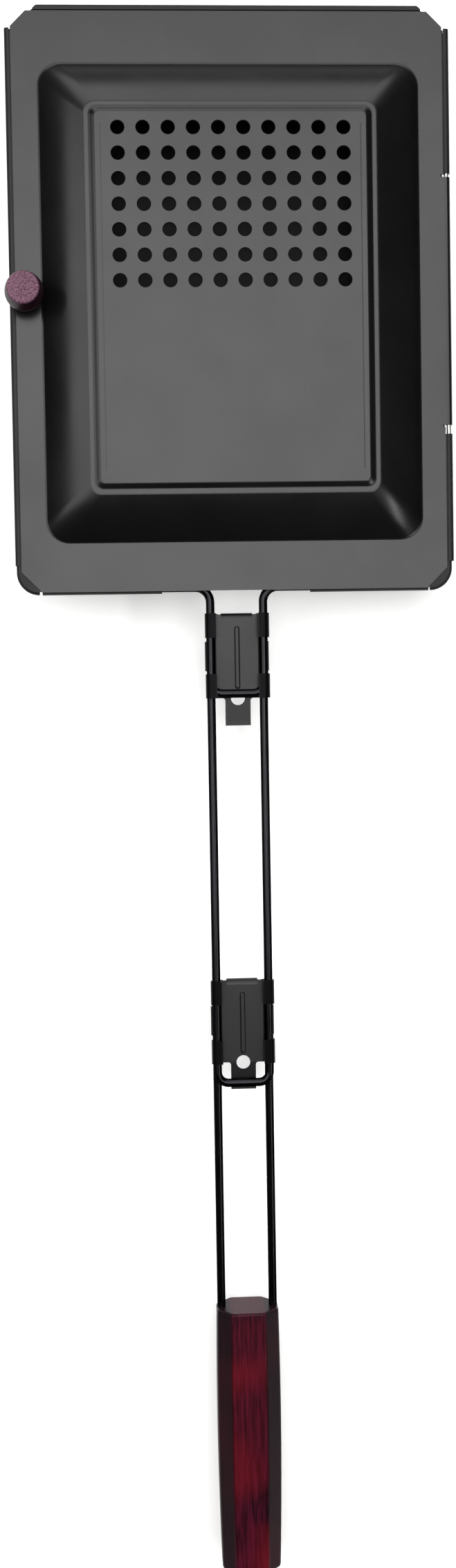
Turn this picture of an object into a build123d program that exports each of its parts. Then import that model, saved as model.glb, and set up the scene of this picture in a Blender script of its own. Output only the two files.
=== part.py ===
from build123d import *
import math
import os

# Campfire popcorn popper, in millimetres, +Z up.
# The origin is the middle of the pan's underside; the handle runs out along -Y,
# the lid hinge is on the +X side and the lid knob on the -X side.

# Pan
PAN_W = 206.6              # over the rolled side edges
PAN_L = 271.4              # over the rolled back and front edges
PAN_H = 38.0               # floor underside to the seat that the lid lies on
PAN_SHEET = 0.7
MOUTH_W = 176.0            # tray opening at the seat
MOUTH_L = 220.0
MOUTH_R = 14.0             # corner radius of the opening
WALL_DRAFT = 9.0           # degrees that the tray walls lean inwards
FLOOR_ROUND = 6.0          # inside radius where wall meets floor
MOUTH_ROUND = 2.5          # inside radius of the bend from wall to flange
EDGE_R = 1.5               # outside radius of the rolled left and back edges
SIDE_ROLL_L = 246.8        # length of the rolled side edges
SIDE_ROLL_Y = 1.4          # their middle
BACK_ROLL_W = 180.0        # length of the rolled back edge
BACK_ROLL_CUT = 2.0        # its ends are cut off at 45 degrees
BAND_GAP = 0.65            # groove between the lid's edge and the raised band
HINGE_GAP = 0.8            # the same groove on the hinge side
WEB = 0.3                  # overlap that joins the raised band to the seat
FRONT_CORNER_R = 9.0
BACK_CORNER_CUT = 11.0
FRONT_ROLL_IN = 35.0       # front curls run from here to here on each side
FRONT_ROLL_OUT = 91.0
LIP_OVERHANG = 1.25        # plain rim between the curls, beyond the wire's axis

# Hinge along the pan's right edge
HINGE_R = 1.7              # outside radius of the hinge knuckles
PIN_CLEAR = 0.05
KNUCKLE_L = 115.0
KNUCKLE_Y = -0.8
SLOT_L = 121.0             # gap in the pan's rolled edge for the lid's knuckle
SLOT_Y = -2.0
SLOT_CLEAR = 0.4           # from the lid's knuckle to the pan's cut edge

# Lid
LID_SHEET = 0.6
LID_LIFT = 0.1             # running gap between the lid and its seat
LID_LEFT_IN = 2.9          # lid edge inside the pan's outline, side by side
LID_RIGHT_IN = 3.5
LID_BACK_IN = 3.2
LID_FRONT_IN = 1.1
LID_FRONT_CUT = 9.5        # cut corners
LID_BACK_CUT = 7.0
RELIEF = 1.6               # small notch in the lid at each end of its knuckle
DOME_W = 176.2             # dome base
DOME_L = 220.0
DOME_Y = -1.6
DOME_R = 10.5              # corner radius at the base
LEDGE_R = 3.5              # and at the ledge
LEDGE_H = 11.5             # dome height at the ledge
DOME_RUN = 20.9            # slope's run, base to ledge
DOME_STEEP = 0.80          # the slope's rise over run at the base, less higher up
LEDGE = 2.5                # flat ledge round the raised panel
STEP_H = 1.8               # rise of the panel above the ledge
STEP_RUN = 2.9
PANEL_R = 2.6              # corner radius of the raised panel at the ledge
PANEL_TOP_R = 1.8
HOLE_D = 6.0
HOLE_PITCH = 11.5
HOLE_COLS = 10
HOLE_ROWS = 7
HOLE_TOP = 6.9             # panel's back edge to the first row of holes

# Knob and its screw
KNOB_IN = 4.5              # axis inboard of the lid's left edge
KNOB_Y = 2.6
KNOB_H = 16.5
KNOB_D = 17.9              # at the widest
KNOB_TOP_D = 14.2
KNOB_BASE_D = 13.3
KNOB_FOOT_D = 9.0
KNOB_FOOT = 0.5
SCREW_D = 3.5
SCREW_L = 12.0
SCREW_HEAD_D = 7.0
SCREW_HEAD_H = 1.7
SCREW_ROOM = 0.8           # round the screw head, in the pan's flange

# Handle wire loops
WIRE_D = 4.0
WIRE_CLEAR = 0.05
LEGS = 25.0                # between the middles of a loop's two legs
BEND_R = 5.2               # loop corners, to the wire's middle
RIM_BEND_R = 7.0           # where the front loop turns into the curls
RIM_LEG_END = 88.0         # half width over the front loop's ends

# Slider plates
PLATE_SHEET = 0.7
PLATE_L = 40.3             # body, without the tongue
PLATE_GAP = 9.2            # pan's front to the upper plate, handle pulled out
PLATE_STEP = 175.1         # upper plate to lower plate
PLATE_INSET = 1.9          # flat blank's edge inboard of the middle of each leg
TABS_UPPER = (0.3, 11.8)   # distances from the plate's top edge
TABS_MIDDLE = (13.4, 27.3)
TABS_LOWER = (28.9, 40.3)
TAB_LEAF = 2.6             # straight end of a tab over the wire
LIP_W = 14.8               # rolled lip over the next loop's top bar
SHOULDER = 0.6             # plate's top edge below the lip
RIB_W = 2.5
RIB_H = 1.0
RIB_SPAN = (6.3, 36.0)
TONGUE_W = 12.0
TONGUE_ROUND = 1.3         # radius in the corners at the tongue's root
TONGUE_END = 53.3
TONGUE_DROP = 0.9          # the tongue is drawn pressed back, clear of the bar
TONGUE_HOOK = 2.3
TONGUE_HOLE_D = 6.6
BAR_AT_RIB = 38.2          # bar's middle when it rests on the rib's end
BAR_AT_HOOK = 49.7         # bar's middle when the tongue's hook holds it

# Wooden grip
GRIP_WALL = 0.8            # wood beside each hole, where the grip is fullest
GRIP_T = 26.0
GRIP_L = 128.7
GRIP_CUT = 7.2             # width of its bevels
GRIP_FULL_AT = 0.36        # where it is fullest, as a share of its length
GRIP_NEAR_LESS = 1.0       # narrower than that at the end towards the pan
GRIP_FAR_LESS = 2.5        # and at the far end
GRIP_FAR_ROUND = 2.2
GRIP_NEAR_ROUND = 1.2
GRIP_Y = -480.0            # end towards the pan
GRIP_HOLE = 90.0

# Levels and places that follow from those sizes
WIRE_R = WIRE_D / 2
BORE_R = WIRE_R + WIRE_CLEAR
TAB_R = BORE_R + PLATE_SHEET
PLATE_FACE = LEGS - 2 * PLATE_INSET
GRIP_W = LEGS + 2 * (BORE_R + GRIP_WALL)
CURL_R = BORE_R + PAN_SHEET
BAND_TOP = PAN_H + PAN_SHEET
LID_UNDER = PAN_H + LID_LIFT
LID_TOP = LID_UNDER + LID_SHEET
PIN_R = HINGE_R - LID_SHEET - PIN_CLEAR
HINGE_X = PAN_W / 2 - HINGE_R
HINGE_Z = LID_TOP - HINGE_R
FRONT = -PAN_L / 2
BACK = PAN_L / 2
RIM_WIRE_Y = FRONT + CURL_R
LOOP_DROP = 2 * BORE_R + PLATE_SHEET
WIRE_Z = [PAN_H - CURL_R - LOOP_DROP * i for i in range(3)]
PLATE_TOP = [FRONT - PLATE_GAP, FRONT - PLATE_GAP - PLATE_STEP]
LID_LEFT = -PAN_W / 2 + LID_LEFT_IN
LID_RIGHT = PAN_W / 2 - LID_RIGHT_IN
LID_BACK = BACK - LID_BACK_IN
LID_FRONT = FRONT + LID_FRONT_IN
KNOB_X = LID_LEFT + KNOB_IN
SEAT_LEFT = LID_LEFT - BAND_GAP - WEB
SEAT_RIGHT = LID_RIGHT + HINGE_GAP + WEB
SEAT_FRONT = RIM_WIRE_Y - LIP_OVERHANG
DOME_TAN = LEDGE_H / DOME_RUN
DOME_CURVE = (DOME_STEEP - DOME_TAN) / DOME_RUN
STEP_TAN = STEP_H / STEP_RUN


def box(x0, x1, y0, y1, z0, z1):
    """A block between two corners."""
    return Pos((x0 + x1) / 2, (y0 + y1) / 2, (z0 + z1) / 2) * Box(x1 - x0, y1 - y0, z1 - z0)


def frustum(w0, l0, r0, z0, w1, l1, r1, z1, y):
    """A block whose rounded rectangle changes evenly from one level to another."""
    low = Pos(0, y, z0) * RectangleRounded(w0, l0, r0)
    high = Pos(0, y, z1) * RectangleRounded(w1, l1, r1)
    return loft([low, high], ruled=True)


def edges_at(shape, z):
    """The edges that lie flat at one level."""
    return shape.edges().filter_by_position(Axis.Z, z - 0.01, z + 0.01)


def roll_section(r_out, wall, open_from, open_to):
    """Section of a rolled sheet, open between two angles from +X towards +Y."""
    ring = Circle(r_out) - Circle(r_out - wall)
    reach = 2 * r_out
    steps = 4
    turn = (open_to - open_from) / steps
    corners = [(0, 0)]
    for i in range(steps + 1):
        a = math.radians(open_from + turn * i)
        corners.append((reach * math.cos(a), reach * math.sin(a)))
    wedge = make_face(Polyline(corners, close=True))
    return ring - wedge


def rolled(r_out, wall, length, open_from, open_to):
    """A sheet rolled round the Y axis, open between two angles from +X towards +Z."""
    section = Plane.XZ * roll_section(r_out, wall, open_from, open_to)
    return Pos(0, length / 2, 0) * extrude(section, amount=length, dir=(0, -1, 0))


def tray_block(grow, floor_z, round_r):
    """The tray's space, grown by the sheet for its outside."""
    slope = math.tan(math.radians(WALL_DRAFT))
    rise = PAN_H - floor_z
    shrink = 2 * slope * rise
    block = frustum(
        MOUTH_W + 2 * grow - shrink, MOUTH_L + 2 * grow - shrink, MOUTH_R + grow - slope * rise, floor_z,
        MOUTH_W + 2 * grow, MOUTH_L + 2 * grow, MOUTH_R + grow, PAN_H, 0)
    return fillet(edges_at(block, floor_z), round_r)


def seat_plate():
    """The flat flange round the tray that the lid lies on."""
    left = SEAT_LEFT
    right = SEAT_RIGHT
    back = LID_BACK + BAND_GAP + WEB
    front = SEAT_FRONT
    cut = BACK_CORNER_CUT
    outline = Polyline(
        (left, front), (right, front), (right, back - cut), (right - cut, back),
        (left + cut, back), (left, back - cut), close=True)
    face = make_face(outline)
    front_corners = face.vertices().sort_by(Axis.Y)[:2]
    face = fillet(front_corners, FRONT_CORNER_R)
    plate = Pos(0, 0, PAN_H - PAN_SHEET) * extrude(face, amount=PAN_SHEET)
    for side in (-1, 1):
        x0, x1 = sorted((side * FRONT_ROLL_IN, side * FRONT_ROLL_OUT))
        plate -= box(x0, x1, FRONT - 5, RIM_WIRE_Y, PAN_H - 5, PAN_H + 5)
    return plate


def corner_roll(seat_edge):
    """Edge of the flange rolled down round a front corner, on the side of seat_edge."""
    side = math.copysign(1, seat_edge)
    section = Pos(-FRONT_CORNER_R, PAN_H - EDGE_R) * roll_section(EDGE_R, PAN_SHEET, -10, 88)
    bend = revolve(Plane.XZ * section, Axis.Z, 90)
    turn_y = SEAT_FRONT + FRONT_CORNER_R
    run = SIDE_ROLL_Y - SIDE_ROLL_L / 2 - turn_y
    straight = Pos(-FRONT_CORNER_R, run / 2, PAN_H - EDGE_R) * rolled(EDGE_R, PAN_SHEET, run, -10, 88)
    corner = bend + straight
    if side > 0:
        corner = mirror(corner, Plane.YZ)
    return Pos(seat_edge - side * FRONT_CORNER_R, turn_y, 0) * corner


def pan():
    """Drawn tray, flange, raised band and rolled edges, all from one sheet."""
    outside = tray_block(PAN_SHEET, 0, FLOOR_ROUND + PAN_SHEET)
    body = seat_plate() + outside
    body = fillet(edges_at(body, PAN_H - PAN_SHEET).filter_by(
        lambda e: abs(e.center().X) < MOUTH_W / 2 + 1.5 and abs(e.center().Y) < MOUTH_L / 2 + 1.5), MOUTH_ROUND)
    body -= tray_block(0, PAN_SHEET, FLOOR_ROUND)
    body = fillet(edges_at(body, PAN_H).filter_by(
        lambda e: abs(e.center().X) < MOUTH_W / 2 + 0.5 and abs(e.center().Y) < MOUTH_L / 2 + 0.5),
        MOUTH_ROUND + PAN_SHEET)

    y0 = SIDE_ROLL_Y - SIDE_ROLL_L / 2
    y1 = SIDE_ROLL_Y + SIDE_ROLL_L / 2
    left_x = -PAN_W / 2 + EDGE_R
    body += Pos(left_x, SIDE_ROLL_Y, BAND_TOP - EDGE_R) * rolled(EDGE_R, PAN_SHEET, SIDE_ROLL_L, -10, 88)
    body += box(left_x, LID_LEFT - BAND_GAP, y0, y1, PAN_H, BAND_TOP)

    right_in = LID_RIGHT + HINGE_GAP
    roll = rolled(HINGE_R, HINGE_R - PIN_R - PIN_CLEAR, SIDE_ROLL_L, 92, 190)
    body += Pos(HINGE_X, SIDE_ROLL_Y, HINGE_Z) * roll
    body += box(right_in, HINGE_X, y0, y1, PAN_H, BAND_TOP)
    for seat_edge in (SEAT_LEFT, SEAT_RIGHT):
        body += corner_roll(seat_edge)
    body -= Pos(HINGE_X, SIDE_ROLL_Y, HINGE_Z) * Rot(90, 0, 0) * Cylinder(PIN_R + PIN_CLEAR, SIDE_ROLL_L)

    back_y = BACK - EDGE_R
    half_back = BACK_ROLL_W / 2
    strip = Pos(0, back_y, BAND_TOP - EDGE_R) * Rot(0, 0, -90) * rolled(EDGE_R, PAN_SHEET, BACK_ROLL_W, -10, 88)
    strip += box(-half_back, half_back, LID_BACK + BAND_GAP, back_y, PAN_H, BAND_TOP)
    cut = BACK_ROLL_CUT * math.sqrt(2)
    for x in (-half_back, half_back):
        strip -= Pos(x, BACK, PAN_H) * Rot(0, 0, 45) * Box(cut, cut, 4 * EDGE_R)
    body += strip

    curl_l = FRONT_ROLL_OUT - FRONT_ROLL_IN
    front_curl = Rot(0, 0, 90) * rolled(CURL_R, PAN_SHEET, curl_l, 5, 88)
    for side in (-1, 1):
        x = side * (FRONT_ROLL_IN + FRONT_ROLL_OUT) / 2
        body += Pos(x, RIM_WIRE_Y, PAN_H - CURL_R) * front_curl

    slot_in = HINGE_X - HINGE_R - SLOT_CLEAR
    body -= box(slot_in, PAN_W / 2 + 1, SLOT_Y - SLOT_L / 2, SLOT_Y + SLOT_L / 2, PAN_H - 10, PAN_H + 5)
    room = SCREW_HEAD_D / 2 + SCREW_ROOM
    body -= Pos(KNOB_X, KNOB_Y, PAN_H) * Cylinder(room, 4)
    return body


def dome_block(sheet, ledge_round, base_down):
    """The dome's outside, or its inside when moved in by the sheet."""
    slope = math.atan(DOME_TAN)
    trim = 2 * sheet * math.tan(slope / 2)
    foot = base_down / DOME_STEEP
    z0 = LID_TOP - sheet
    w = DOME_W - trim
    length = DOME_L - trim
    sections = []
    for share in (-foot / DOME_RUN, 0.33, 0.67, 1.0):
        run = share * DOME_RUN
        rise = DOME_STEEP * run - DOME_CURVE * run ** 2
        r = DOME_R + share * (LEDGE_R - DOME_R) - trim / 2
        outline = RectangleRounded(w - 2 * run, length - 2 * run, r)
        sections.append(Pos(0, DOME_Y, z0 + rise) * outline)
    block = loft(sections)
    block = fillet(edges_at(block, z0 + LEDGE_H), ledge_round)
    step_w = DOME_W - 2 * DOME_RUN - 2 * LEDGE - trim
    step_l = DOME_L - 2 * DOME_RUN - 2 * LEDGE - trim
    sink = 0.6
    more = sink / STEP_TAN
    panel = frustum(
        step_w + 2 * more, step_l + 2 * more, PANEL_R + more, z0 + LEDGE_H - sink,
        step_w - 2 * STEP_RUN, step_l - 2 * STEP_RUN, PANEL_TOP_R, z0 + LEDGE_H + STEP_H, DOME_Y)
    return block + panel


def lid_outline():
    """The lid's flat outline with its cut corners and the hinge tab."""
    cut = LID_FRONT_CUT
    back_cut = LID_BACK_CUT
    top = KNUCKLE_Y + KNUCKLE_L / 2
    low = KNUCKLE_Y - KNUCKLE_L / 2
    outline = Polyline(
        (LID_LEFT + cut, LID_FRONT), (LID_RIGHT - cut, LID_FRONT), (LID_RIGHT, LID_FRONT + cut),
        (LID_RIGHT, low - RELIEF), (LID_RIGHT - RELIEF, low), (HINGE_X, low), (HINGE_X, top),
        (LID_RIGHT - RELIEF, top), (LID_RIGHT, top + RELIEF), (LID_RIGHT, LID_BACK - back_cut),
        (LID_RIGHT - back_cut, LID_BACK), (LID_LEFT + back_cut, LID_BACK), (LID_LEFT, LID_BACK - back_cut),
        (LID_LEFT, LID_FRONT + cut), close=True)
    return make_face(outline)


def lid():
    """Pressed lid with a stepped dome, a grid of steam holes and a hinge knuckle."""
    body = Pos(0, 0, LID_UNDER) * extrude(lid_outline(), amount=LID_SHEET)
    body += dome_block(0, 2.5, 0)
    base = edges_at(body, LID_TOP).filter_by(
        lambda e: abs(e.center().X) < DOME_W / 2 + 0.5 and abs(e.center().Y - DOME_Y) < DOME_L / 2 + 0.5)
    body = fillet(base, 1.6)
    body -= dome_block(LID_SHEET, 2.0, 1.0)
    wrap = rolled(HINGE_R, LID_SHEET, KNUCKLE_L, 92, 160)
    body += Pos(HINGE_X, KNUCKLE_Y, HINGE_Z) * wrap
    panel_back = DOME_Y + DOME_L / 2 - DOME_RUN - LEDGE - STEP_RUN
    first_row = panel_back - HOLE_TOP
    middle_row = first_row - HOLE_PITCH * (HOLE_ROWS - 1) / 2
    grid = GridLocations(HOLE_PITCH, HOLE_PITCH, HOLE_COLS, HOLE_ROWS)
    punch = [Pos(0, middle_row, LID_TOP + LEDGE_H) * spot * Cylinder(HOLE_D / 2, 10) for spot in grid]
    body -= punch
    body -= Pos(KNOB_X, KNOB_Y, LID_TOP) * Cylinder(SCREW_D / 2 + 0.1, 4)
    return body


def hinge_pin():
    """Straight wire through the pan's rolled edge and the lid's knuckle."""
    return Pos(HINGE_X, SIDE_ROLL_Y, HINGE_Z) * Rot(90, 0, 0) * Cylinder(PIN_R, SIDE_ROLL_L - 1)


def lid_knob():
    """Turned wooden knob with a small foot, drilled for its screw."""
    foot_r = KNOB_FOOT_D / 2
    base_r = KNOB_BASE_D / 2
    wide_r = KNOB_D / 2
    top_r = KNOB_TOP_D / 2
    wide_z = 0.44 * KNOB_H
    side = Spline(
        (base_r, KNOB_FOOT), (wide_r, wide_z), (top_r + 0.5, KNOB_H - 0.8),
        tangents=[(0.55, 1), (-0.2, 1)])
    profile = make_face([
        Line((0, 0), (foot_r, 0)), Line((foot_r, 0), (foot_r, KNOB_FOOT)),
        Line((foot_r, KNOB_FOOT), (base_r, KNOB_FOOT)), side,
        Line((top_r + 0.5, KNOB_H - 0.8), (top_r, KNOB_H)),
        Line((top_r, KNOB_H), (0, KNOB_H)), Line((0, KNOB_H), (0, 0))])
    body = revolve(Plane.XZ * profile, Axis.Z)
    body -= Pos(0, 0, SCREW_L / 2) * Cylinder(SCREW_D / 2 + 0.05, SCREW_L)
    return Pos(KNOB_X, KNOB_Y, LID_TOP) * body


def knob_screw():
    """Round-headed screw from under the lid up into the knob."""
    shank_top = LID_TOP + SCREW_L - 0.5
    shank_l = shank_top - LID_UNDER
    body = Pos(0, 0, LID_UNDER + shank_l / 2) * Cylinder(SCREW_D / 2, shank_l)
    head = Pos(0, 0, LID_UNDER - SCREW_HEAD_H / 2) * Cylinder(SCREW_HEAD_D / 2, SCREW_HEAD_H)
    head = fillet(edges_at(head, LID_UNDER - SCREW_HEAD_H), 1.1)
    head -= Pos(0, 0, LID_UNDER - SCREW_HEAD_H) * Box(4.6, 0.9, 1.4)
    return Pos(KNOB_X, KNOB_Y, 0) * (body + head)


def wire(points, radii, z):
    """Round wire bent along a flat path."""
    path = FilletPolyline(*points, radius=radii)
    start = Plane(origin=path @ 0, z_dir=path % 0)
    bent = sweep(start * Circle(WIRE_R), path=path)
    return Pos(0, 0, z) * bent


def front_wire_loop():
    """Short loop whose ends lie in the pan's front curls."""
    x = LEGS / 2
    bar = PLATE_TOP[0] - BAR_AT_RIB
    points = [
        (-RIM_LEG_END, RIM_WIRE_Y), (-x, RIM_WIRE_Y), (-x, bar), (x, bar), (x, RIM_WIRE_Y),
        (RIM_LEG_END, RIM_WIRE_Y)]
    return wire(points, [RIM_BEND_R, BEND_R, BEND_R, RIM_BEND_R], WIRE_Z[0])


def middle_wire_loop():
    """Long closed loop, its top bar in the upper plate's lip."""
    x = LEGS / 2
    top = PLATE_TOP[0] - TAB_R
    bar = PLATE_TOP[1] - BAR_AT_HOOK
    points = [(0, top), (-x, top), (-x, bar), (x, bar), (x, top), (0.02, top)]
    return wire(points, [BEND_R] * 4, WIRE_Z[1])


def rear_wire_loop():
    """Loop from the lower plate's lip into the two holes of the grip."""
    x = LEGS / 2
    top = PLATE_TOP[1] - TAB_R
    end = GRIP_Y - GRIP_HOLE + 1
    points = [(-x, end), (-x, top), (x, top), (x, end)]
    return wire(points, [BEND_R] * 2, WIRE_Z[2])


def side_tab(span, top, z, up):
    """Pair of tabs curled round the wires in front of the plate, or behind it."""
    length = span[1] - span[0]
    y = top - (span[0] + span[1]) / 2
    x = LEGS / 2
    near = PLATE_FACE / 2
    half_ring = rolled(TAB_R, PLATE_SHEET, length, 90, 270)
    leaf = box(x - TAB_LEAF, x, -length / 2, length / 2, BORE_R, TAB_R)
    root = box(near - 1.5, x, -length / 2, length / 2, -TAB_R, -BORE_R)
    tab = Pos(x, 0, 0) * half_ring + leaf + root
    if not up:
        tab = mirror(tab, Plane.XY)
    pair = tab + mirror(tab, Plane.YZ)
    return Pos(0, y, z) * pair


def slider_plate(index):
    """Stamped plate that joins one wire loop to the next and slides on the first."""
    top = PLATE_TOP[index]
    front_z = WIRE_Z[index]
    rear_z = WIRE_Z[index + 1]
    face = front_z - BORE_R
    under = face - PLATE_SHEET
    half = PLATE_FACE / 2
    body = box(-half, half, top - PLATE_L, top - SHOULDER - TAB_R, under, face)
    side = (half - LIP_W / 2) / 2
    for sx in (-1, 1):
        x0, x1 = sorted((sx * (half - 2 * side), sx * half))
        body += box(x0, x1, top - 2 * TAB_R, top - SHOULDER, under, face)
    body += side_tab(TABS_UPPER, top, front_z, True)
    body += side_tab(TABS_LOWER, top, front_z, True)
    body += side_tab(TABS_MIDDLE, top, rear_z, False)
    lip = Rot(0, 0, 90) * rolled(TAB_R, PLATE_SHEET, LIP_W, 90, 270)
    body += Pos(0, top - TAB_R, rear_z) * lip
    body += box(-LIP_W / 2, LIP_W / 2, top - 2 * TAB_R, top - TAB_R, under, face)
    leaf_y = top - TAB_R
    body += box(-LIP_W / 2, LIP_W / 2, leaf_y - TAB_LEAF, leaf_y, rear_z - TAB_R, rear_z - BORE_R)

    rib_l = RIB_SPAN[1] - RIB_SPAN[0]
    rib_y = top - (RIB_SPAN[0] + RIB_SPAN[1]) / 2
    rib = extrude(Rot(0, 0, 90) * SlotOverall(rib_l, RIB_W), amount=RIB_H)
    rib = fillet(edges_at(rib, RIB_H), RIB_H * 0.85)
    body += Pos(0, rib_y, face) * rib
    hollow = extrude(Rot(0, 0, 90) * SlotOverall(rib_l - 1.4, RIB_W - 1.4), amount=RIB_H)
    body -= Pos(0, rib_y, under) * hollow

    root = top - PLATE_L + 2
    bend = top - TONGUE_END + TONGUE_HOOK
    tip = top - TONGUE_END
    line = [(root, 0), (root - 2, 0), (bend, -TONGUE_DROP), (tip, -0.1)]
    lower = [(y, z - PLATE_SHEET) for y, z in reversed(line)]
    profile = make_face(Polyline(line + lower, close=True))
    tongue = extrude(Plane.YZ * profile, amount=TONGUE_W / 2, both=True)
    body += Pos(0, 0, face) * tongue
    edge = top - PLATE_L
    for x in (-TONGUE_W / 2 - TONGUE_ROUND, TONGUE_W / 2 + TONGUE_ROUND):
        inner = math.copysign(TONGUE_W / 2, x)
        web = box(min(x, inner), max(x, inner), edge - TONGUE_ROUND, edge, under, face)
        body += web - Pos(x, edge - TONGUE_ROUND, face) * Cylinder(TONGUE_ROUND, 4)
    body -= Pos(0, top - PLATE_L, face) * Cylinder(TONGUE_HOLE_D / 2, 6)
    return body


def grip_section(y, w, t):
    """One bevelled cross-section of the grip."""
    face = Rectangle(w, t)
    face = chamfer(face.vertices(), GRIP_CUT)
    face = fillet(face.vertices(), 2.5)
    return Pos(0, y, WIRE_Z[2]) * Rot(90, 0, 0) * face


def wooden_grip():
    """Bevelled wooden grip, fullest near its middle, drilled for both wires."""
    far = GRIP_Y - GRIP_L
    sections = [
        grip_section(GRIP_Y, GRIP_W - GRIP_NEAR_LESS, GRIP_T - GRIP_NEAR_LESS),
        grip_section(GRIP_Y - GRIP_FULL_AT * GRIP_L, GRIP_W, GRIP_T),
        grip_section(far, GRIP_W - GRIP_FAR_LESS, GRIP_T - GRIP_FAR_LESS)]
    body = loft(sections)
    ends = body.faces().sort_by(Axis.Y)
    body = fillet(ends[0].edges(), GRIP_FAR_ROUND)
    body = fillet(body.faces().sort_by(Axis.Y)[-1].edges(), GRIP_NEAR_ROUND)
    for side in (-1, 1):
        hole = Rot(90, 0, 0) * Cylinder(BORE_R, GRIP_HOLE)
        body -= Pos(side * LEGS / 2, GRIP_Y - GRIP_HOLE / 2, WIRE_Z[2]) * hole
    return body


PARTS = {
    "pan": pan,
    "hinge_pin": hinge_pin,
    "lid": lid,
    "lid_knob": lid_knob,
    "knob_screw": knob_screw,
    "front_wire_loop": front_wire_loop,
    "upper_slider_plate": lambda: slider_plate(0),
    "middle_wire_loop": middle_wire_loop,
    "lower_slider_plate": lambda: slider_plate(1),
    "rear_wire_loop": rear_wire_loop,
    "wooden_grip": wooden_grip,
}

os.makedirs("parts", exist_ok=True)
for name, make in PARTS.items():
    shape = make()
    export_step(shape, f"parts/{name}.step")
    print(name, round(shape.volume, 1))
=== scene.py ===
import math
import bmesh
import bpy
from mathutils import Matrix, Vector


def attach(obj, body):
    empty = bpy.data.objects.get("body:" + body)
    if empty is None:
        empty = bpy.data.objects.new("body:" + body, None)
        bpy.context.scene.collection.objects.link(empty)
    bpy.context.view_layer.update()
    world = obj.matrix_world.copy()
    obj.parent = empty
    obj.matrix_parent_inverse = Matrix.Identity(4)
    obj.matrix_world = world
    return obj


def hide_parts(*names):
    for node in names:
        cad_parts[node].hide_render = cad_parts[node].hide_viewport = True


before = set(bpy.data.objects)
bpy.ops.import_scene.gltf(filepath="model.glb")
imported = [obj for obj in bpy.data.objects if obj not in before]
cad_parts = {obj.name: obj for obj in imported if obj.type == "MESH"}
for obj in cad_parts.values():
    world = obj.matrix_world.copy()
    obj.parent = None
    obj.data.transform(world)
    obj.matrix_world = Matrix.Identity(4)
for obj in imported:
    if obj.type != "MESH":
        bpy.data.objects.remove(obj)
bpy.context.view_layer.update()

# The pan is one sheet of mild steel, pressed to a tray with a flat flange. Its side and back
# edges are rolled, and its front edge is curled round the handle wire. It is coated with
# black non-stick, a little duller than the lid's.
MM = 0.001


def linear(hex_colour):
    """Linear RGBA of an sRGB hex colour."""
    channels = [int(hex_colour[i:i + 2], 16) / 255 for i in (1, 3, 5)]
    return [c / 12.92 if c <= 0.04045 else ((c + 0.055) / 1.055) ** 2.4 for c in channels] + [1]


def add(tree, kind, settings=None, links=None):
    """Adds a node to a tree, with its settings and its inputs' values or links."""
    node = tree.nodes.new(kind)
    for name, value in (settings or {}).items():
        setattr(node, name, value)
    for name, value in (links or {}).items():
        if isinstance(value, bpy.types.NodeSocket):
            tree.links.new(value, node.inputs[name])
        else:
            node.inputs[name].default_value = value
    return node


def new_material(name):
    """An empty material, with its node tree, its shader and its Object coordinates."""
    material = bpy.data.materials.new(name)
    material.use_nodes = True
    tree = material.node_tree
    place = add(tree, "ShaderNodeTexCoord").outputs["Object"]
    return material, tree, tree.nodes["Principled BSDF"], place


def give(node, material):
    """Puts a material on all of a CAD node's slots."""
    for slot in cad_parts[node].material_slots:
        slot.material = material


def sprayed_coating(name, deep, worn, dull, gloss):
    """Black coat over steel: a gloss clouded by handling, and the fine peel of sprayed drops."""
    cloud_mm = 26
    wipe_mm = 70
    dull_spread = 0.05
    # the real peel is about 0.8 mm across, drawn at twice that so that it shows
    peel_mm = 1.6
    peel_deep = 0.012
    material, tree, shader, place = new_material(name)
    cloud = add(tree, "ShaderNodeTexNoise", links={
        "Vector": place, "Scale": 1 / (cloud_mm * MM), "Detail": 3.0, "Roughness": 0.5})
    wipe = add(tree, "ShaderNodeTexNoise", links={
        "Vector": place, "Scale": 1 / (wipe_mm * MM), "Detail": 1.0, "Distortion": 0.6})
    half_wipe = add(tree, "ShaderNodeMath", {"operation": "MULTIPLY"}, {
        0: wipe.outputs["Fac"], 1: 0.5})
    total = add(tree, "ShaderNodeMath", {"operation": "MULTIPLY_ADD"}, {
        0: cloud.outputs["Fac"], 1: 0.5, 2: half_wipe.outputs["Value"]})
    colour = add(tree, "ShaderNodeMix", {"data_type": "RGBA"}, {
        "Factor": total.outputs["Value"], "A": linear(deep), "B": linear(worn)})
    tree.links.new(colour.outputs["Result"], shader.inputs["Base Color"])
    spread = add(tree, "ShaderNodeMapRange", links={
        "Value": total.outputs["Value"], "From Min": 0.3, "From Max": 0.7,
        "To Min": dull - dull_spread, "To Max": dull + dull_spread})
    tree.links.new(spread.outputs["Result"], shader.inputs["Roughness"])
    peel = add(tree, "ShaderNodeTexNoise", links={
        "Vector": place, "Scale": 1 / (peel_mm * MM), "Detail": 2.0})
    bump = add(tree, "ShaderNodeBump", links={
        "Height": peel.outputs["Fac"], "Distance": peel_deep * MM, "Strength": 0.6})
    tree.links.new(bump.outputs["Normal"], shader.inputs["Normal"])
    shader.inputs["Specular IOR Level"].default_value = gloss
    return material, tree, shader, place


# Non-stick coating, sprayed and baked: satin black, with a soft wide reflection.
pan_coating = sprayed_coating("nonstick_coating_sprayed", "#060607", "#0D0D0E", 0.50, 0.30)[0]
give("pan", pan_coating)

# The hinge pin is a straight length of bright steel wire, pushed through the pan's rolled
# right edge and the lid's knuckle. It shows only in the gaps at the knuckle's two ends.
LINE_MM = 0.3
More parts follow.
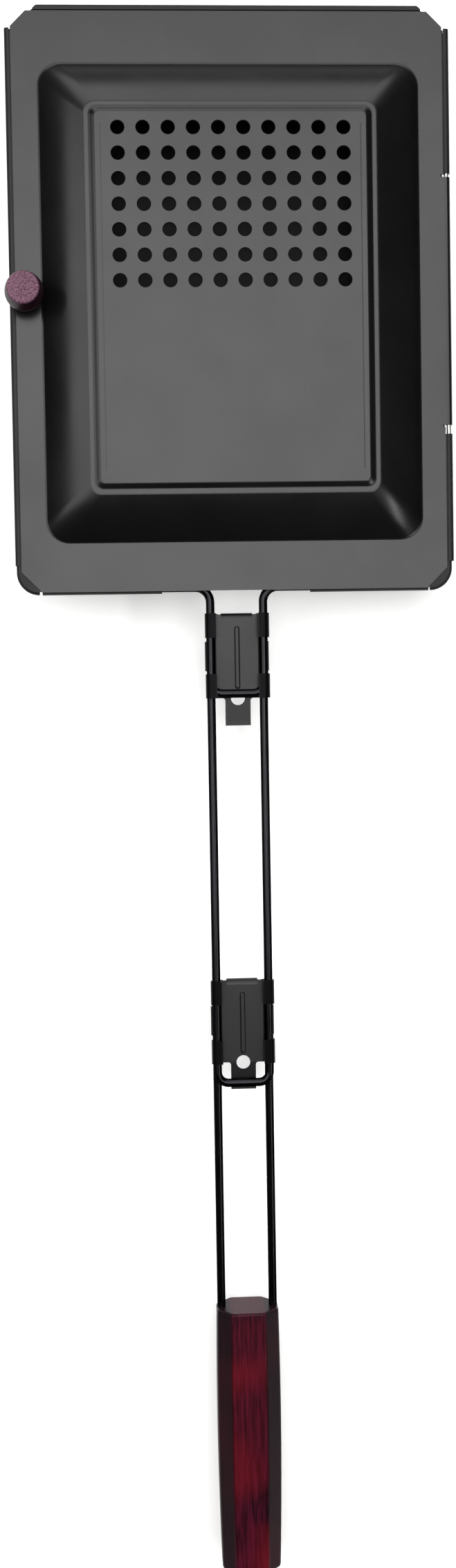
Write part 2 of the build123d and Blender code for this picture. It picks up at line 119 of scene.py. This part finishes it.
# Drawn steel: pale and bright, with the fine lines of the drawing die along it.
pin_steel, tree, shader, place = new_material("drawn_bright_steel")
along = add(tree, "ShaderNodeMapping", links={"Vector": place, "Scale": (1, 0.03, 1)})
lines = add(tree, "ShaderNodeTexNoise", links={
    "Vector": along.outputs["Vector"], "Scale": 1 / (LINE_MM * MM)})
spread = add(tree, "ShaderNodeMapRange", links={
    "Value": lines.outputs["Fac"], "To Min": 0.25, "To Max": 0.45})
tree.links.new(spread.outputs["Result"], shader.inputs["Roughness"])
shader.inputs["Base Color"].default_value = linear("#B9B8B5")
shader.inputs["Metallic"].default_value = 1
give("hinge_pin", pin_steel)

# The lid is a second pressing of the same steel, 0.6 mm thick: a flat rim with cut corners, a
# dome with a ledge and a raised panel, and 70 holes punched from above. A tab on its right
# edge is rolled round the hinge pin. A shallow crease runs along each side of the panel.
SHEET = 0.6
RIM_TOP = 38.7
RIM_LEFT, RIM_RIGHT, RIM_FRONT, RIM_BACK = -100.4, 99.8, -134.6, 132.5
FRONT_CUT, BACK_CUT = 9.5, 7
DOME_W, DOME_L, DOME_Y = 176.2, 220.0, -1.6
SLOPE, SLOPE_EASE = 0.80, 0.01196
FOOT_RADIUS, SLOPE_SHRINK = 10.5, 0.24
LEDGE_FROM, LEDGE_TO, LEDGE_H = 20.6, 23.3, 11.5
LEDGE_RADIUS, STEP_SHRINK = 5.5, 0.65
PANEL_FROM, PANEL_H = 25.6, 12.7
BEND_STEP, BEND_STEPS = 0.14, 4
KNUCKLE_FROM, KNUCKLE_TO = -58.3, 56.7
PIN_X, PIN_Z = 101.6, 37.0


def pick(piece, kind, test):
    """Selects the edges or faces of a piece in edit mode that pass a test, and no others."""
    bpy.ops.mesh.select_mode(type=kind)
    bpy.ops.mesh.select_all(action="DESELECT")
    mesh = bmesh.from_edit_mesh(piece.data)
    parts = {"EDGE": mesh.edges, "FACE": mesh.faces}[kind]
    for part in parts:
        part.select_set(test(part))
    mesh.select_flush_mode()
    bmesh.update_edit_mesh(piece.data)


def middle(part):
    """Middle of an edge or face, in millimetres."""
    total = sum((corner.co for corner in part.verts), Vector())
    return total / len(part.verts) / MM


def flat_sheet(name, x0, x1, y0, y1, z):
    """A single flat face between two corners, its place in its mesh."""
    bpy.ops.object.select_all(action="DESELECT")
    bpy.ops.mesh.primitive_plane_add(size=1, location=(0, 0, 0))
    sheet = bpy.context.object
    sheet.name = name
    sheet.scale = ((x1 - x0) * MM, (y1 - y0) * MM, 1)
    sheet.location = ((x0 + x1) / 2 * MM, (y0 + y1) / 2 * MM, z * MM)
    bpy.ops.object.transform_apply(location=True, rotation=True, scale=True)
    return sheet


def join(pieces):
    """Joins pieces into the first of them."""
    bpy.ops.object.select_all(action="DESELECT")
    for piece in pieces:
        piece.select_set(True)
    bpy.context.view_layer.objects.active = pieces[0]
    bpy.ops.object.join()
    return pieces[0]


def pressed_height(t):
    """Height above the rim of a pressing with sharp bends, t inwards from the dome's foot."""
    if t < 0:
        return 0
    if t < LEDGE_FROM:
        return SLOPE * t - SLOPE_EASE * t * t
    share = (t - LEDGE_TO) / (PANEL_FROM - LEDGE_TO)
    return LEDGE_H + (PANEL_H - LEDGE_H) * min(max(share, 0), 1)


def rounded_height(t):
    """The same height with every bend rounded, as the sheet leaves the die."""
    steps = range(-BEND_STEPS, BEND_STEPS + 1)
    return sum(pressed_height(t + BEND_STEP * k) for k in steps) / len(steps)


def corner_radius(t):
    """Radius of the dome's corners, t inwards from its foot: it shrinks up the slope and the step."""
    if t < LEDGE_FROM:
        return FOOT_RADIUS - SLOPE_SHRINK * t
    return LEDGE_RADIUS - STEP_SHRINK * (t - LEDGE_FROM)


# the dome is bridged from rings that lie close together where the sheet bends, and each ring
# rises a hair over the one outside it, so that the panel's is the highest
RING_SPANS = ((-0.8, 1.0, 8), (1.0, 19.8, 8), (19.8, 21.4, 8), (21.4, 22.6, 1), (22.6, 26.3, 19))
HAIR = 0.0004
rings = []
for start, end, steps in RING_SPANS:
    for i in range(steps):
        t = start + (end - start) * i / steps
        ring = flat_sheet(
            "ring", t - DOME_W / 2, DOME_W / 2 - t, DOME_Y + t - DOME_L / 2, DOME_Y - t + DOME_L / 2,
            RIM_TOP + rounded_height(t) + HAIR * t)
        bpy.ops.object.mode_set(mode="EDIT")
        bpy.ops.mesh.select_all(action="SELECT")
        bpy.ops.mesh.bevel(
            offset=corner_radius(t) * MM, offset_type="OFFSET", affect="VERTICES", segments=8)
        bpy.ops.mesh.delete(type="ONLY_FACE")
        bpy.ops.object.mode_set(mode="OBJECT")
        rings.append(ring)
dome = join(rings)
bpy.ops.object.mode_set(mode="EDIT")
bpy.ops.mesh.select_all(action="SELECT")
bpy.ops.mesh.bridge_edge_loops()
panel_z = max(corner.co.z for corner in dome.data.vertices) / MM
pick(dome, "EDGE", lambda edge: middle(edge).z > panel_z - HAIR / 2)
bpy.ops.mesh.edge_face_add()
bpy.ops.object.mode_set(mode="OBJECT")

# the rim is a flat sheet with its corners cut off, divided along lines for what comes next
lid = flat_sheet("lid_pressing", RIM_LEFT, RIM_RIGHT, RIM_FRONT, RIM_BACK, RIM_TOP)
bpy.ops.object.mode_set(mode="EDIT")
for x, y, cut in (
        (RIM_LEFT, RIM_FRONT, FRONT_CUT), (RIM_RIGHT, RIM_FRONT, FRONT_CUT),
        (RIM_LEFT, RIM_BACK, BACK_CUT), (RIM_RIGHT, RIM_BACK, BACK_CUT)):
    outwards = Vector((math.copysign(1, x), math.copysign(1, y), 0))
    on_cut = Vector((x - outwards.x * cut, y, RIM_TOP)) * MM
    bpy.ops.mesh.select_all(action="SELECT")
    bpy.ops.mesh.bisect(plane_co=on_cut, plane_no=outwards, clear_outer=True)
OPENING_X, OPENING_Y, NOTCH = 92.0, 114.0, 1.2
NEAR = 0.01
ACROSS, ALONG = Vector((1, 0, 0)), Vector((0, 1, 0))
for distance, direction in (
        (-OPENING_X, ACROSS), (OPENING_X, ACROSS),
        (DOME_Y - OPENING_Y, ALONG), (DOME_Y + OPENING_Y, ALONG),
        (KNUCKLE_FROM, ALONG), (KNUCKLE_TO, ALONG),
        (KNUCKLE_FROM - NOTCH, ALONG), (KNUCKLE_TO + NOTCH, ALONG),
        (RIM_RIGHT - NOTCH, ACROSS)):
    bpy.ops.mesh.select_all(action="SELECT")
    bpy.ops.mesh.bisect(plane_co=direction * distance * MM, plane_no=direction)


def in_opening(part, slack=0):
    """Whether an edge or face lies in the rim's opening, which the dome fills."""
    at = middle(part)
    return abs(at.x) < OPENING_X + slack and abs(at.y - DOME_Y) < OPENING_Y + slack


def in_notch(face):
    """Whether a face lies in one of the small notches at the two ends of the tab."""
    at = middle(face)
    beside_tab = KNUCKLE_FROM - NOTCH < at.y < KNUCKLE_FROM or KNUCKLE_TO < at.y < KNUCKLE_TO + NOTCH
    return beside_tab and at.x > RIM_RIGHT - NOTCH


def on_tab(edge):
    """Whether an edge is the outer edge of the tab."""
    return middle(edge).x > RIM_RIGHT - NEAR and KNUCKLE_FROM < middle(edge).y < KNUCKLE_TO


pick(lid, "FACE", in_opening)
bpy.ops.mesh.delete(type="FACE")
pick(lid, "FACE", in_notch)
bpy.ops.mesh.delete(type="FACE")
# the tab reaches over the pin and is rolled round it, and spin turns against its angle's sign
ROLL = -290
pick(lid, "EDGE", on_tab)
bpy.ops.mesh.extrude_region_move(TRANSFORM_OT_translate={"value": ((PIN_X - RIM_RIGHT) * MM, 0, 0)})
bpy.ops.mesh.spin(
    steps=14, angle=math.radians(ROLL), center=(PIN_X * MM, 0, PIN_Z * MM), axis=(0, 1, 0))
bpy.ops.object.mode_set(mode="OBJECT")

# the dome is bridged to the rim's opening, and the sheet gets its thickness downwards
lid = join([lid, dome])
bpy.ops.object.mode_set(mode="EDIT")
pick(lid, "EDGE", lambda edge: len(edge.link_faces) < 2 and in_opening(edge, NEAR))
bpy.ops.mesh.bridge_edge_loops()
bpy.ops.mesh.select_all(action="SELECT")
bpy.ops.mesh.remove_doubles(threshold=0.001 * MM)
bpy.ops.mesh.normals_make_consistent(inside=False)
bpy.ops.object.mode_set(mode="OBJECT")
panel_face = max(lid.data.polygons, key=lambda face: face.area)
if panel_face.normal.z < 0:
    bpy.ops.object.mode_set(mode="EDIT")
    bpy.ops.mesh.select_all(action="SELECT")
    bpy.ops.mesh.flip_normals()
    bpy.ops.object.mode_set(mode="OBJECT")
wall = lid.modifiers.new("wall", "SOLIDIFY")
wall.thickness = SHEET * MM
wall.offset = -1
wall.use_even_offset = True
bpy.ops.object.modifier_apply(modifier="wall")


def cut_with(piece, cutter):
    """Takes a cutter's shape out of a piece and removes the cutter."""
    bpy.ops.object.select_all(action="DESELECT")
    bpy.context.view_layer.objects.active = piece
    piece.select_set(True)
    bite = piece.modifiers.new("bite", "BOOLEAN")
    bite.object = cutter
    bite.solver = "EXACT"
    bpy.ops.object.modifier_apply(modifier="bite")
    bpy.data.objects.remove(cutter)


# punched holes, with the rim of each turned down a little by the punch
PITCH, HOLES_ACROSS, HOLES_ALONG, HOLES_FROM = 11.5, 10, 7, 33.2
HOLE_D, RIM_TURN, PUNCH_L = 6.0, 0.3, 3
first_x = -PITCH * (HOLES_ACROSS - 1) / 2
first_y = DOME_Y + DOME_L / 2 - HOLES_FROM - PITCH * (HOLES_ALONG - 1)
bpy.ops.object.select_all(action="DESELECT")
bpy.ops.mesh.primitive_cylinder_add(
    vertices=32, radius=HOLE_D / 2 * MM, depth=PUNCH_L * MM,
    location=(first_x * MM, first_y * MM, (panel_z - RIM_TURN - PUNCH_L / 2) * MM))
punch = bpy.context.object
bpy.ops.object.transform_apply(location=True)
bpy.ops.object.mode_set(mode="EDIT")
pick(punch, "FACE", lambda face: middle(face).z > panel_z - RIM_TURN - NEAR)
grow = (HOLE_D / 2 + 2 * RIM_TURN) / (HOLE_D / 2)
bpy.ops.mesh.extrude_region_move(TRANSFORM_OT_translate={"value": (0, 0, 2 * RIM_TURN * MM)})
bpy.ops.transform.resize(value=(grow, grow, 1))
bpy.ops.object.mode_set(mode="OBJECT")
for count, step in ((HOLES_ACROSS, (PITCH, 0, 0)), (HOLES_ALONG, (0, PITCH, 0))):
    row = punch.modifiers.new("row", "ARRAY")
    row.count = count
    row.use_relative_offset = False
    row.use_constant_offset = True
    row.constant_offset_displace = Vector(step) * MM
    bpy.ops.object.modifier_apply(modifier="row")
cut_with(lid, punch)

# creases along the panel's two sides
CREASE_R, CREASE_DEEP, CREASE_IN, CREASE_L = 6.0, 0.08, 2.2, 157.0
crease_x = DOME_W / 2 - PANEL_FROM - CREASE_IN
for side in (-1, 1):
    bpy.ops.object.select_all(action="DESELECT")
    bpy.ops.mesh.primitive_cylinder_add(
        vertices=192, radius=CREASE_R * MM, depth=CREASE_L * MM, rotation=(math.radians(90), 0, 0),
        location=(side * crease_x * MM, DOME_Y * MM, (panel_z + CREASE_R - CREASE_DEEP) * MM))
    bpy.ops.object.transform_apply(location=True, rotation=True, scale=True)
    cut_with(lid, bpy.context.object)

# bends are shaded round, and the flats flat up to the edges of their holes
SMOOTH_BELOW = 28
bpy.ops.object.select_all(action="DESELECT")
lid.select_set(True)
bpy.context.view_layer.objects.active = lid
bpy.ops.object.shade_smooth_by_angle(angle=math.radians(SMOOTH_BELOW))
flats = lid.modifiers.new("flats", "WEIGHTED_NORMAL")
flats.keep_sharp = True
bpy.ops.object.modifier_apply(modifier="flats")
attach(lid, "lid")
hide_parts("lid")

# Its coating is the same, polished by handling: the flats mirror the light above softly.
lid_coating = sprayed_coating("nonstick_coating_polished", "#070708", "#0F0F10", 0.27, 0.40)[0]
lid.data.materials.clear()
lid.data.materials.append(lid_coating)

# The knob is turned from a close-grained hardwood, with the end grain on its top, and stained
# dark. Its side is painted near black, as painted shade, and its top keeps the stain's lighter
# tone. One screw from under the lid holds it.


def stained_wood(name, dark, light, glow, grain_mm, axis, dull):
    """Stained wood with its grain along one axis, and little shine of its own."""
    along_grain = 0.05
    pore_mm = 0.45 * grain_mm
    pore_deep = 0.05
    patch_mm = 38
    dark_at, light_at = 0.39, 0.63
    little_shine = 0.09
    material, tree, shader, place = new_material(name)
    squeeze = [1, 1, 1]
    squeeze[axis] = along_grain
    along = add(tree, "ShaderNodeMapping", links={"Vector": place, "Scale": squeeze})
    grain = add(tree, "ShaderNodeTexNoise", links={
        "Vector": along.outputs["Vector"], "Scale": 1 / (grain_mm * MM), "Detail": 4.0, "Roughness": 0.62})
    pores = add(tree, "ShaderNodeTexNoise", links={
        "Vector": along.outputs["Vector"], "Scale": 1 / (pore_mm * MM), "Detail": 2.0})
    patch = add(tree, "ShaderNodeTexNoise", links={
        "Vector": place, "Scale": 1 / (patch_mm * MM), "Detail": 1.0})
    tone = add(tree, "ShaderNodeValToRGB", links={"Fac": grain.outputs["Fac"]})
    tone.color_ramp.elements[0].position = dark_at
    tone.color_ramp.elements[0].color = linear(dark)
    tone.color_ramp.elements[1].position = light_at
    tone.color_ramp.elements[1].color = linear(light)
    share = add(tree, "ShaderNodeMapRange", links={
        "Value": patch.outputs["Fac"], "From Min": 0.45, "From Max": 0.75, "To Max": 0.7})
    stain = add(tree, "ShaderNodeMix", {"data_type": "RGBA"}, {
        "Factor": share.outputs["Result"], "A": tone.outputs["Color"], "B": linear(glow)})
    tree.links.new(stain.outputs["Result"], shader.inputs["Base Color"])
    bump = add(tree, "ShaderNodeBump", links={
        "Height": pores.outputs["Fac"], "Distance": pore_deep * MM, "Strength": 0.5})
    tree.links.new(bump.outputs["Normal"], shader.inputs["Normal"])
    shader.inputs["Roughness"].default_value = dull
    shader.inputs["Specular IOR Level"].default_value = little_shine
    return material, tree, shader, place


# Turned beech, stained: dusty rose on the top, and near black round the side, which is painted shade.
SIDE_SHADE_FROM, SIDE_SHADE_TO = 54.2, 55.0
knob_wood, tree, shader, place = stained_wood(
    "stained_turned_beech", "#4A2A3A", "#7C5A6A", "#846270", 0.9, 2, 0.40)
top_wood_stain = shader.inputs["Base Color"].links[0].from_socket
# painted shade: below this height the side is painted near black, above it the top keeps its stain
split = add(tree, "ShaderNodeSeparateXYZ", links={"Vector": place})
side_shade_fade = add(tree, "ShaderNodeMapRange", links={
    "Value": split.outputs["Z"], "From Min": SIDE_SHADE_FROM * MM, "From Max": SIDE_SHADE_TO * MM})
tone = add(tree, "ShaderNodeMix", {"data_type": "RGBA"}, {
    "Factor": side_shade_fade.outputs["Result"], "A": linear("#241019"), "B": top_wood_stain})
tree.links.new(tone.outputs["Result"], shader.inputs["Base Color"])
give("lid_knob", knob_wood)

# The knob's screw is a bought one of zinc-plated steel, driven up through the lid into the
# wood. Only its head shows, under the lid.
CLOUD_MM = 1.2
# Zinc plate: pale grey with a faint cloud in its tint, and a soft metal shine.
screw_steel, tree, shader, place = new_material("zinc_plated_steel")
cloud = add(tree, "ShaderNodeTexNoise", links={
    "Vector": place, "Scale": 1 / (CLOUD_MM * MM), "Detail": 3.0})
tint = add(tree, "ShaderNodeMix", {"data_type": "RGBA"}, {
    "Factor": cloud.outputs["Fac"], "A": linear("#A9ACB0"), "B": linear("#C4C5C2")})
tree.links.new(tint.outputs["Result"], shader.inputs["Base Color"])
shader.inputs["Metallic"].default_value = 1
shader.inputs["Roughness"].default_value = 0.34
give("knob_screw", screw_steel)

# The three wire loops are drawn steel wire, bent cold. The front one's ends turn outwards
# into the pan's front curls, the middle one is welded into a ring, and the rear one runs
# into the grip.
DRAW_MM = 1.2
# Black chrome plate: deep black, with one narrow streak of light along each wire. The real
# lines of the drawing die are finer, and are drawn this coarse so that they show.
wire_plate, tree, shader, place = new_material("black_chrome_plated_steel")
along = add(tree, "ShaderNodeMapping", links={"Vector": place, "Scale": (1, 0.1, 1)})
draw = add(tree, "ShaderNodeTexNoise", links={
    "Vector": along.outputs["Vector"], "Scale": 1 / (DRAW_MM * MM), "Detail": 2.0})
tint = add(tree, "ShaderNodeMix", {"data_type": "RGBA"}, {
    "Factor": draw.outputs["Fac"], "A": linear("#1E1E20"), "B": linear("#2A2A2C")})
tree.links.new(tint.outputs["Result"], shader.inputs["Base Color"])
spread = add(tree, "ShaderNodeMapRange", links={
    "Value": draw.outputs["Fac"], "To Min": 0.14, "To Max": 0.26})
tree.links.new(spread.outputs["Result"], shader.inputs["Roughness"])
shader.inputs["Metallic"].default_value = 1
# a dark tint keeps the plate from turning mirror-bright where the wire curves away
shader.inputs["Specular Tint"].default_value = (0.08, 0.08, 0.08, 1)
for node in ("front_wire_loop", "middle_wire_loop", "rear_wire_loop"):
    give(node, wire_plate)

# The two slider plates are stamped from thin steel: tabs curled round the wires of one loop
# from the front and of the next from behind, a lip, a pressed rib and a tongue that catches
# the bar. Each slides on its loop's two wires.
TAB_SHADE_FROM, TAB_SHADE_SPREAD = 9.7, 0.5
# Satin black paint: a soft shine on the flat. The tabs are made metallic, which turns them deeper
# black as painted shade, because metal as dark as this mirrors next to nothing.
plate_paint, tree, shader, place = sprayed_coating("satin_black_paint", "#0A0A0B", "#141415", 0.38, 0.33)
split = add(tree, "ShaderNodeSeparateXYZ", links={"Vector": place})
off_middle = add(tree, "ShaderNodeMath", {"operation": "ABSOLUTE"}, {0: split.outputs["X"]})
# painted shade: past this distance from the middle the tabs are made metallic, so they render black
tab = add(tree, "ShaderNodeMapRange", links={
    "Value": off_middle.outputs["Value"],
    "From Min": TAB_SHADE_FROM * MM, "From Max": (TAB_SHADE_FROM + TAB_SHADE_SPREAD) * MM})
tree.links.new(tab.outputs["Result"], shader.inputs["Metallic"])
for node in ("upper_slider_plate", "lower_slider_plate"):
    give(node, plate_paint)

# The grip is a hardwood bar with its four long edges planed off, drilled for the two wires.
# It is stained and thinly varnished.
BEVEL_SHADE_FROM, BEVEL_SHADE_SPREAD, BEVEL_SHADE = 7.7, 1.2, 0.85
# Stained hardwood: deep reddish brown on the flats, and near black on the bevels, which is painted shade.
grip_wood, tree, shader, place = stained_wood(
    "stained_varnished_hardwood", "#1E080F", "#481124", "#72151E", 1.1, 1, 0.34)
flat_stain = shader.inputs["Base Color"].links[0].from_socket
split = add(tree, "ShaderNodeSeparateXYZ", links={"Vector": place})
off_middle = add(tree, "ShaderNodeMath", {"operation": "ABSOLUTE"}, {0: split.outputs["X"]})
# painted shade: the bevels on both sides are painted near black
bevel = add(tree, "ShaderNodeMapRange", links={
    "Value": off_middle.outputs["Value"], "From Min": BEVEL_SHADE_FROM * MM,
    "From Max": (BEVEL_SHADE_FROM + BEVEL_SHADE_SPREAD) * MM, "To Max": BEVEL_SHADE})
bevel_painted_shade = add(tree, "ShaderNodeMix", {"data_type": "RGBA"}, {
    "Factor": bevel.outputs["Result"], "A": flat_stain, "B": linear("#0E080E")})
tree.links.new(bevel_painted_shade.outputs["Result"], shader.inputs["Base Color"])
give("wooden_grip", grip_wood)

# Camera: above the middle of the object, nearly straight down, fitted to the pan's edges and
# the lid's holes. Its turn is one vector, along the axis and as long as the angle in degrees.
CAMERA_PLACE = Vector((-43.4, -192.6, 821.2)) * MM
CAMERA_TURN = Vector((2.394, 2.780, 1.027))
FOCAL_PX = 2400
FRAME_PX = 2265
SENSOR = 36
data = bpy.data.cameras.new("camera")
camera = bpy.data.objects.new("camera", data)
bpy.context.scene.collection.objects.link(camera)
turn = Matrix.Rotation(math.radians(CAMERA_TURN.length), 3, CAMERA_TURN.normalized())
camera.matrix_world = Matrix.Translation(CAMERA_PLACE) @ turn.transposed().to_4x4()
data.sensor_width = SENSOR
data.lens = SENSOR * FOCAL_PX / FRAME_PX
data.clip_start = 0.01
data.clip_end = 50
bpy.context.scene.camera = camera

# The studio: a table of white paper under a large soft panel, two dimmer panels for the dome's
# far and left slopes, and a strip at the right front, which draws the streak along the wires
# and the dome's near corner. Its sizes are in metres.
TABLE_SIZE, TABLE_Z = 6, -0.0005
bpy.ops.object.select_all(action="DESELECT")
bpy.ops.mesh.primitive_plane_add(size=TABLE_SIZE, location=(0, 0, TABLE_Z))
table = bpy.context.object
table.name = "studio_table"
# Matt paper: plain white. It glows only for the camera, mirrors and glass, not on the object.
PAPER_GLOW = 0.35
paper, tree, shader, _ = new_material("white_paper_matt")
shader.inputs["Base Color"].default_value = linear("#F4F4F2")
shader.inputs["Roughness"].default_value = 0.9
path = add(tree, "ShaderNodeLightPath")
seen = add(tree, "ShaderNodeMath", {"operation": "MAXIMUM"}, {
    0: path.outputs["Is Camera Ray"], 1: path.outputs["Is Glossy Ray"]})
seen = add(tree, "ShaderNodeMath", {"operation": "MAXIMUM"}, {
    0: seen.outputs["Value"], 1: path.outputs["Is Transmission Ray"]})
tree.links.new(seen.outputs["Value"], shader.inputs["Emission Strength"])
shader.inputs["Emission Color"].default_value = (PAPER_GLOW, PAPER_GLOW, PAPER_GLOW, 1)
table.data.materials.append(paper)

# A dim, even light from all round fills the shadows.
world = bpy.data.worlds.new("studio")
bpy.context.scene.world = world
world.use_nodes = True
background = world.node_tree.nodes["Background"]
background.inputs["Color"].default_value = (1, 1, 1, 1)
background.inputs["Strength"].default_value = 0.06

# Black cards stand on both sides of the table, hidden from the camera. They are there to be
# mirrored, which keeps the dome's slopes dark.
CARD_X, CARD_Y, CARD_W, CARD_H = 0.42, -0.05, 1.2, 0.16
card_black, _, shader, _ = new_material("black_card_matt")
shader.inputs["Base Color"].default_value = linear("#0A0A0A")
shader.inputs["Roughness"].default_value = 1.0
for name, x in (("right_card", CARD_X), ("left_card", -CARD_X)):
    bpy.ops.object.select_all(action="DESELECT")
    bpy.ops.mesh.primitive_plane_add(
        size=1, location=(x, CARD_Y, CARD_H / 2), rotation=(math.radians(90), 0, math.radians(90)))
    card = bpy.context.object
    card.name = name
    card.scale = (CARD_W, CARD_H, 1)
    card.visible_camera = False
    card.visible_diffuse = False
    card.visible_shadow = False
    card.data.materials.append(card_black)


def panel(name, place, target, size, power):
    """A soft rectangular lamp aimed at a point, with its two sides and its watts."""
    light = bpy.data.lights.new(name, "AREA")
    light.shape = "RECTANGLE"
    light.size, light.size_y = size
    light.energy = power
    lamp = bpy.data.objects.new(name, light)
    bpy.context.scene.collection.objects.link(lamp)
    lamp.location = place
    lamp.rotation_euler = (Vector(target) - Vector(place)).to_track_quat("-Z", "Y").to_euler()


panel("overhead_panel", (0.08, 0.20, 1.8), (0.08, 0.20, 0), (1.25, 1.5), 26)
panel("back_panel", (0.0, 1.55, 1.12), (0, 0.05, 0.2), (1.8, 1.4), 20)
panel("left_panel", (-1.2, 0.1, 1.5), (0, -0.05, 0.04), (1.3, 1.25), 14)
panel("strip_panel", (0.60, -0.50, 0.66), (0, -0.50, 0.04), (0.5, 0.07), 1.6)

bpy.context.scene.view_settings.view_transform = "Standard"
